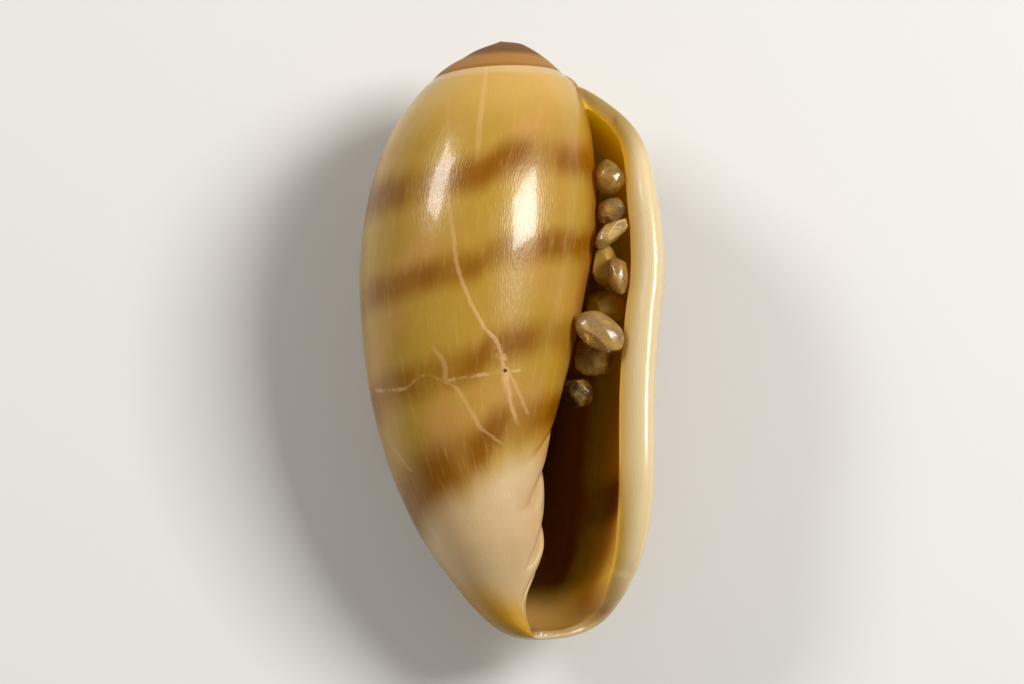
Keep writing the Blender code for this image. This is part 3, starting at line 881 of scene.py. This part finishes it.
class Graph:
    """One material, with short names for the kinds of node that it uses."""

    def __init__(self, name):
        self.material = bpy.data.materials.new(name)
        self.material.use_nodes = True
        self.nodes = self.material.node_tree.nodes
        self.links = self.material.node_tree.links
        self.shader = self.nodes["Principled BSDF"]
        self.output = self.nodes["Material Output"]

    def feed(self, socket, value):
        """Links another node's output to an input, or sets the input to a plain value."""
        if isinstance(value, bpy.types.NodeSocket):
            self.links.new(value, socket)
        else:
            socket.default_value = value

    def fill(self, kind, *values, **settings):
        """A new node with these settings, its inputs fed in their order."""
        node = self.nodes.new(kind)
        for name, value in settings.items():
            setattr(node, name, value)
        for socket, value in zip(node.inputs, values):
            self.feed(socket, value)
        return node

    def feed_named(self, node, **inputs):
        """Feeds inputs by name, with _ for each space in a name."""
        for name, value in inputs.items():
            self.feed(node.inputs[name.replace("_", " ")], value)

    def set_shader(self, **inputs):
        self.feed_named(self.shader, **inputs)

    def attribute(self, name):
        return self.fill("ShaderNodeAttribute", attribute_name=name).outputs["Fac"]

    def position(self):
        """The place on the object, in millimetres."""
        place = self.fill("ShaderNodeTexCoord").outputs["Object"]
        return self.fill("ShaderNodeVectorMath", place, (1 / MM,) * 3, operation="MULTIPLY").outputs[0]

    def along(self, vector, direction):
        node = self.fill("ShaderNodeVectorMath", vector, tuple(direction), operation="DOT_PRODUCT")
        return node.outputs["Value"]

    def math(self, operation, *values):
        return self.fill("ShaderNodeMath", *values, operation=operation).outputs[0]

    def plus(self, first, second):
        return self.math("ADD", first, second)

    def minus(self, first, second):
        return self.math("SUBTRACT", first, second)

    def chain(self, operation, first, *others):
        for value in others:
            first = self.math(operation, first, value)
        return first

    def times(self, *values):
        return self.chain("MULTIPLY", *values)

    def most(self, *values):
        return self.chain("MAXIMUM", *values)

    def smooth(self, value, low, high, to_low=0.0, to_high=1.0):
        """A smooth change from TO_LOW to TO_HIGH while the value goes from LOW to HIGH."""
        node = self.fill(
            "ShaderNodeMapRange", value, low, high, to_low, to_high,
            interpolation_type="SMOOTHSTEP",
        )
        return node.outputs[0]

    def where(self, at, **changes):
        """1 where all of these changes are complete, 0 where one hasn't begun."""
        return self.times(*[self.smooth(getattr(at, name), *pair) for name, pair in changes.items()])

    def vector(self, x, y, z=0.0):
        return self.fill("ShaderNodeCombineXYZ", x, y, z).outputs[0]

    def noise(self, vector, scale, detail=2.0, roughness=0.5):
        node = self.nodes.new("ShaderNodeTexNoise")
        self.feed_named(node, Vector=vector, Scale=scale, Detail=detail, Roughness=roughness)
        return node.outputs["Fac"]

    def mix(self, factor, first, second):
        node = self.nodes.new("ShaderNodeMix")
        node.data_type = "RGBA"
        colours = [socket for socket in node.inputs if socket.type == "RGBA"]
        for socket, value in zip([node.inputs["Factor"], *colours], (factor, first, second)):
            self.feed(socket, value)
        return [socket for socket in node.outputs if socket.type == "RGBA"][0]

    def curve(self, value, points):
        """A smooth curve through POINTS, both scales from 0 to 1."""
        node = self.fill("ShaderNodeFloatCurve", 1.0, value)
        line = node.mapping.curves[0]
        line.points[0].location = points[0]
        line.points[1].location = points[-1]
        for place in points[1:-1]:
            line.points.new(*place)
        node.mapping.update()
        return node.outputs[0]

    def bump(self, height, depth):
        """A normal for small relief; DEPTH, in millimetres, is what a height of 1 stands up."""
        node = self.nodes.new("ShaderNodeBump")
        self.feed_named(node, Distance=depth * MM, Height=height)
        return node.outputs["Normal"]


Places = namedtuple("Places", "growth row inward band across up height point")


def shell_places(g):
    """What the shell's material reads: where it is in growth, in the picture plane and in space."""
    point = g.position()
    right, up, _ = view_axes()
    return Places(
        g.attribute("growth"), g.attribute("row"), g.attribute("inward"), g.attribute("band"),
        g.along(point, right), g.along(point, up), g.along(point, (0, 0, 1)), point,
    )


def band_shade(g, at, flow):
    """How much of the brown bands is here, from 0 to 1."""
    low = min(shift for _, shift in GROWTH_PAUSE)
    first, last = GROWTH_PAUSE[0][0], GROWTH_PAUSE[-1][0]
    steps = [((whorl - first) / (last - first), shift / low) for whorl, shift in GROWTH_PAUSE]
    share = g.math("DIVIDE", g.minus(at.growth, first), last - first)
    pause = g.curve(share, steps)
    drift = g.times(g.minus(g.noise(flow, 0.9, 3.0), 0.5), BAND_DRIFT)
    level = g.plus(g.minus(at.band, g.times(pause, low)), drift)
    shades = []
    for centre, half_width, strength in BANDS:
        away = g.math("ABSOLUTE", g.minus(level, centre))
        begins, complete = half_width * BAND_EDGE[0], half_width * BAND_EDGE[1]
        shades.append(g.smooth(away, begins, complete, to_high=strength))
    patch_place = g.vector(g.times(at.growth, PATCHES[0]), g.times(at.band, PATCHES[1]))
    patchy = g.noise(patch_place, 1.2, 1.0)
    return g.times(g.most(*shades), g.smooth(patchy, 0.36, 0.6, to_low=0.5))


def scar_line(g, along, across, points, width, strength):
    """A line along a smooth curve: STRENGTH on it, 0 beside it, fading at both ends."""
    first, last = points[0][0], points[-1][0]
    low = min(value for _, value in points)
    high = max(value for _, value in points)
    share = g.math("DIVIDE", g.minus(along, first), last - first)
    shape = [((place - first) / (last - first), (value - low) / (high - low)) for place, value in points]
    centre = g.plus(g.times(g.curve(share, shape), high - low), low)
    distance = g.math("ABSOLUTE", g.minus(across, centre))
    line = g.smooth(distance, width, width * 0.2, 0.0, strength)
    ends = g.times(g.smooth(share, 0.0, 0.05), g.smooth(share, 1.0, 0.95))
    return g.times(line, ends)


def scar_marks(g, at):
    """The healed cracks, and how far this is on the side where they and the pit lie."""
    jitter = g.times(g.minus(g.noise(at.point, 9.0, 3.0, 0.7), 0.5), SCAR_JITTER)
    u = g.plus(at.across, jitter)
    v = g.plus(at.up, jitter)
    broken = g.smooth(g.noise(at.point, 7.0, 2.0), 0.42, 0.6, to_low=0.15)
    wide = g.times(g.smooth(at.up, *WIDE_SCAR_TOP), g.smooth(at.up, *WIDE_SCAR_FOOT))
    long_line = scar_line(g, v, u, LONG_SCAR, width=0.046, strength=1.0)
    lines = g.most(
        g.times(long_line, g.smooth(at.up, *LONG_SCAR_FADE, to_low=0.08, to_high=0.5)),
        g.times(scar_line(g, v, u, LONG_SCAR, width=0.1, strength=0.6), wide, broken),
        g.times(scar_line(g, u, v, CROSS_SCAR, width=0.038, strength=0.5), broken),
        scar_line(g, v, u, SIDE_SCAR, width=0.055, strength=0.28),
        scar_line(g, v, u, FORK_SCAR, width=0.04, strength=0.35),
        scar_line(g, v, u, LEFT_SCAR, width=0.04, strength=0.22),
    )
    front = g.where(at, **FRONT)
    return g.times(lines, front), front


def pit_mark(g, at, front):
    """The small round pit where the cracks meet."""
    aside = g.minus(at.across, PIT[0])
    above = g.minus(at.up, PIT[1])
    distance = g.math("SQRT", g.plus(g.times(aside, aside), g.times(above, above)))
    return g.times(g.smooth(distance, PIT_RADIUS, PIT_RADIUS * 0.4), front)


def outside_colour(g, at, flow, streaks):
    """Ochre ground, brown bands with painted shade low on the left, pale callus, ochre tip, darker
    spire.
    """
    broad = g.noise(flow, 0.55, 3.0)
    colour = g.mix(g.smooth(broad, 0.4, 0.62), OCHRE, OLIVE)
    rosy = g.noise(g.vector(g.times(at.growth, PATCHES[0]), at.band, 4.0), 0.8, 2.0)
    colour = g.mix(g.smooth(rosy, 0.5, 0.7, to_high=0.55), colour, ROSE_TAN)
    colour = g.mix(g.smooth(at.band, *SHOULDER_LEVELS, to_high=0.7), colour, PALE_TAN)
    # Painted shade over a brown band: brown low on the left side, where the light falls off.
    low = g.smooth(at.band, *LOW_LEVELS)
    shaded_left = g.smooth(at.growth, *LEFT_SIDE_GROWTH)
    colour = g.mix(g.times(low, shaded_left, 0.45), colour, LOW_BROWN_AND_SHADE)
    colour = g.mix(band_shade(g, at, flow), colour, BAND_BROWN)
    callus_edge = g.plus(at.band, g.times(g.minus(broad, 0.5), 0.7))
    callus_colour = g.mix(g.smooth(rosy, 0.4, 0.6), CALLUS, CALLUS_ROSE)
    callus = g.smooth(callus_edge, *CALLUS_LEVELS)
    colour = g.mix(callus, colour, callus_colour)
    tip = g.times(g.smooth(at.row, *TIP_ROWS), g.smooth(at.growth, *TIP_GROWTH, to_low=0.3))
    colour = g.mix(tip, colour, TIP_OCHRE)
    streaky = g.smooth(streaks, 0.48, 0.8, to_high=0.3)
    colour = g.mix(g.times(streaky, g.minus(1.0, g.times(callus, 0.7))), colour, PALE_TAN)
    colour = growth_marks(g, at, colour)
    spire = spire_colour(g, at)
    return g.mix(g.smooth(at.growth, *SPIRE_GROWTH), colour, spire)


def growth_marks(g, at, colour):
    """The fine line where growth paused, the orange crease, and the pale line at the suture."""
    pause = g.minus(at.growth, g.minus(g.times(at.row, PAUSE_LEAN), PAUSE_BEFORE_LIP))
    pause_line = g.smooth(g.math("ABSOLUTE", pause), *PAUSE_HALF_WIDTH, to_high=0.35)
    colour = g.mix(g.times(pause_line, g.smooth(at.row, *PAUSE_ROWS)), colour, SUTURE_PALE)
    colour = g.mix(g.times(g.where(at, **CREASE), 0.6), colour, CREASE_ORANGE)
    return g.mix(g.times(g.where(at, **SUTURE_LINE), 0.45), colour, SUTURE_PALE)


def spire_colour(g, at):
    """Tan, with brown towards the apex and at its foot."""
    colour = g.mix(g.smooth(at.row, *SPIRE_TOP_ROWS), SPIRE_TAN, SPIRE_BROWN)
    return g.mix(g.smooth(at.row, *SPIRE_FOOT_ROWS, to_high=0.3), colour, SPIRE_BROWN)


def lip_colour(g, at):
    """Cream to yellow across the lip, with a dull top, a glow below it and a rosy foot."""
    colour = g.mix(g.smooth(at.inward, *LIP_YELLOW_INWARD), LIP_CREAM, LIP_YELLOW)
    colour = g.mix(g.smooth(at.row, *LIP_TOP_ROWS), colour, LIP_TOP)
    colour = g.mix(g.where(at, **LIP_GLOW), colour, TOP_GLOW)
    colour = g.mix(g.where(at, **FUNNEL), colour, FUNNEL_OLIVE)
    foot = g.times(g.smooth(at.row, *FOOT_ROWS), g.smooth(at.inward, *FOOT_INWARD, to_low=0.3))
    return g.mix(foot, colour, FLOOR_ROSE)


def inside_colour(g, at):
    """Inside: painted glow under the top and at the lip, an orange band, painted shade deeper in, rosy
    foot.
    """
    # Gold under the top is painted glow, amber at the lip is its own colour with painted glow, brown
    # further in is its own colour with painted shade.
    deep = g.smooth(at.inward, *DEEP_INWARD)
    colour = g.mix(g.where(at, **THIN_TOP_GLOW), INSIDE_AMBER_AND_GLOW, INSIDE_GOLD_GLOW)
    from_band = g.math("ABSOLUTE", g.minus(at.row, ORANGE_ROW))
    colour = g.mix(g.smooth(from_band, *ORANGE_REACH, to_high=0.8), colour, CREASE_ORANGE)
    # Painted shade: deep inside, the colour goes to the darkened brown.
    colour = g.mix(deep, colour, INSIDE_BROWN_AND_SHADE)
    return g.mix(g.smooth(at.row, *FLOOR_ROWS), colour, FLOOR_ROSE)


def shell_colour(g, at, flow, streaks, marks, lip):
    """The colour everywhere: outside with its marks, columella, lip and inside."""
    scars, pit = marks
    colour = outside_colour(g, at, flow, streaks)
    colour = g.mix(scars, colour, SCAR_WHITE)
    colour = g.mix(pit, colour, PIT_DARK)
    # Painted shade on the columella inside the aperture, in the darkened inside brown.
    colour = g.mix(g.where(at, **SHADED_COLUMELLA), colour, INSIDE_BROWN_AND_SHADE)
    colour = g.mix(g.most(lip, g.where(at, **VARIX)), colour, lip_colour(g, at))
    return g.mix(g.smooth(at.inward, *INSIDE_INWARD), colour, inside_colour(g, at))


def shell_material():
    """The glossy shell, whose thin inside glows with the light that comes through it."""
    g = Graph("shell_finish")
    at = shell_places(g)
    flow = g.vector(g.times(at.growth, FLOW[0]), g.times(at.band, FLOW[1]), at.inward)
    streaks = g.noise(flow, 9.0, 4.0, 0.6)
    fine = g.noise(flow, 34.0, 2.0, 0.5)
    scars, front = scar_marks(g, at)
    pit = pit_mark(g, at, front)
    lip = g.smooth(at.inward, *LIP_INWARD)
    colour = shell_colour(g, at, flow, streaks, (scars, pit), lip)
    dull = g.most(g.times(g.smooth(at.row, *DULL_ROWS), lip), g.smooth(at.growth, *DULL_GROWTH))
    g.set_shader(
        Base_Color=colour, Roughness=g.plus(0.27, g.times(dull, 0.25)), IOR=1.47,
        Specular_IOR_Level=0.36,
        Coat_Weight=g.minus(0.3, g.times(dull, 0.3)), Coat_Roughness=0.09,
        Subsurface_Weight=g.smooth(at.inward, *THIN_INWARD, 0.25, 1.0),
        Subsurface_Radius=(1.0, 0.84, 0.32),
        Subsurface_Scale=g.smooth(at.inward, *THIN_INWARD, 0.35 * MM, 0.9 * MM),
    )
    relief = g.plus(g.times(streaks, 0.3), g.times(fine, 0.7))
    marks_relief = g.minus(g.times(scars, SCAR_RELIEF), g.times(pit, PIT_RELIEF))
    g.set_shader(Normal=g.bump(g.plus(relief, marks_relief), RELIEF_HEIGHT))
    return g.material


def quartz_material(name, tint, frost, cloud):
    """Worn quartz: clear stone that absorbs all but its tint, with milky clouds and a rubbed skin."""
    g = Graph(name)
    point = g.position()
    veil = g.noise(point, 5.0, 4.0, 0.6)
    grit = g.noise(point, 28.0, 3.0, 0.6)
    g.set_shader(
        Base_Color=g.mix(g.smooth(veil, 0.35, 0.7), tint, QUARTZ_MILK),
        Roughness=g.smooth(grit, 0.3, 0.75, frost * 0.6, frost),
        Transmission_Weight=g.smooth(veil, 0.4, 0.75, 1.0 - cloud * 0.5, 1.0 - cloud),
        IOR=1.544, Coat_Weight=0.1, Coat_Roughness=0.05,
        Normal=g.bump(g.plus(g.times(veil, 0.6), g.times(grit, 0.4)), GRAIN_RELIEF_HEIGHT),
    )
    stone = g.fill("ShaderNodeVolumeAbsorption", tint, ABSORPTION_PER_MM / MM)
    g.feed(g.output.inputs["Volume"], stone.outputs["Volume"])
    return g.material


def add_shell():
    mesh = shell_mesh()
    mesh.materials.append(shell_material())
    shell = new_object("shell_surface", mesh)
    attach(shell, "root")
    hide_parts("shell")


def worn(points, seed):
    """Grain points pushed in onto a few random flats."""
    random = np.random.default_rng(seed)
    middle = points.mean(0)
    offsets = points - middle
    for _ in range(FLATS_PER_GRAIN):
        facing = random.normal(size=3)
        facing /= np.linalg.norm(facing)
        reach = offsets @ facing
        limit = reach.max() * random.uniform(*FLAT_REACH)
        offsets = offsets - np.outer(np.maximum(reach - limit, 0), facing)
    return middle + offsets


def add_grain(node, seed, material):
    """A worn grain that fills the box of the solid that it stands for."""
    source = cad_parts[node]
    working = bmesh.new()
    working.from_mesh(source.data)
    bmesh.ops.remove_doubles(working, verts=working.verts, dist=WELD_DISTANCE * MM)
    mesh = bpy.data.meshes.new(node + "_stone")
    working.to_mesh(mesh)
    working.free()
    stone = new_object(node + "_stone", mesh)
    rounding = stone.modifiers.new("rounding", "SUBSURF")
    rounding.levels = rounding.render_levels = GRAIN_LEVELS
    graph = bpy.context.evaluated_depsgraph_get()
    fine = bpy.data.meshes.new_from_object(stone.evaluated_get(graph))
    stone.modifiers.clear()
    points = np.array([tuple(vertex.co) for vertex in fine.vertices])
    points = fitted_to(worn(points, seed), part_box(node))
    fine.vertices.foreach_set("co", points.astype(np.float32).ravel())
    fine.shade_smooth()
    fine.set_sharp_from_angle(angle=math.radians(SHARP_ANGLE))
    stone.data = fine
    fine.materials.clear()
    fine.materials.append(material)
    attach(stone, "root")
    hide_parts(node)


def add_grains():
    for seed, (node, tint, frost, cloud) in enumerate(GRAINS, start=1):
        material = quartz_material(node + "_quartz", srgb(*tint), frost, cloud)
        add_grain(node, seed, material)


def main():
    add_camera()
    add_world()
    add_floor()
    for softbox in SOFTBOXES:
        add_softbox(*softbox)
    add_shell()
    add_grains()
    bpy.context.scene.view_settings.view_transform = "Standard"
    bpy.context.scene.view_settings.look = "Medium High Contrast"
    bpy.context.scene.cycles.use_denoising = True


main()
